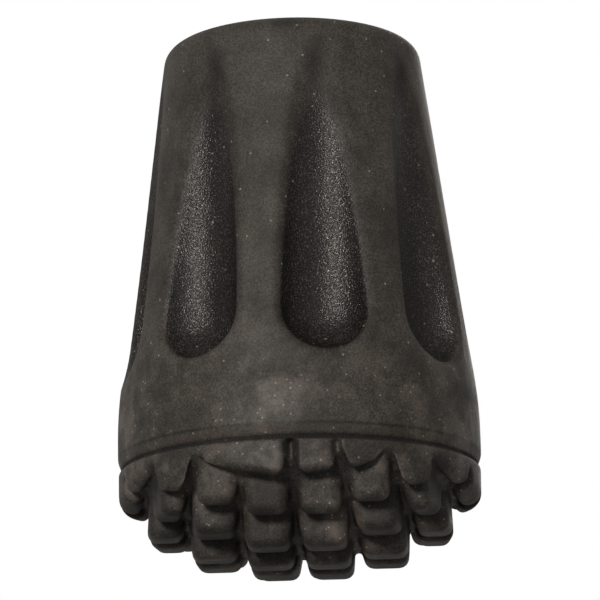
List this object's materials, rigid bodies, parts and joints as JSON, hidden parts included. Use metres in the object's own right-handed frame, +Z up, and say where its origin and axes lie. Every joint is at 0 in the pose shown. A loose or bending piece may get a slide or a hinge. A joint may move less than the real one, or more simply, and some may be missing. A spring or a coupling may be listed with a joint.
{
  "type": "trekking pole tip",
  "caption": "Rubber push-on tip for a trekking pole: a fluted, tapered barrel with a blind bore, over a domed tread of square studs.",
  "frame": {"origin": "on the bore's axis, level with the ends of the four middle studs, which the tip stands on", "axes": "+Z runs up the bore's axis and out of its mouth; -Y is the side of the barrel shown at the front, along the middle of a flute; +X is to its right"},
  "size_m": [0.027, 0.027, 0.0402],
  "materials": {
    "black_rubber": "matt moulded rubber, slightly grainy"
  },
  "bodies": {
    "root": {"rubber_tip": "black_rubber"}
  },
  "joints": []
}
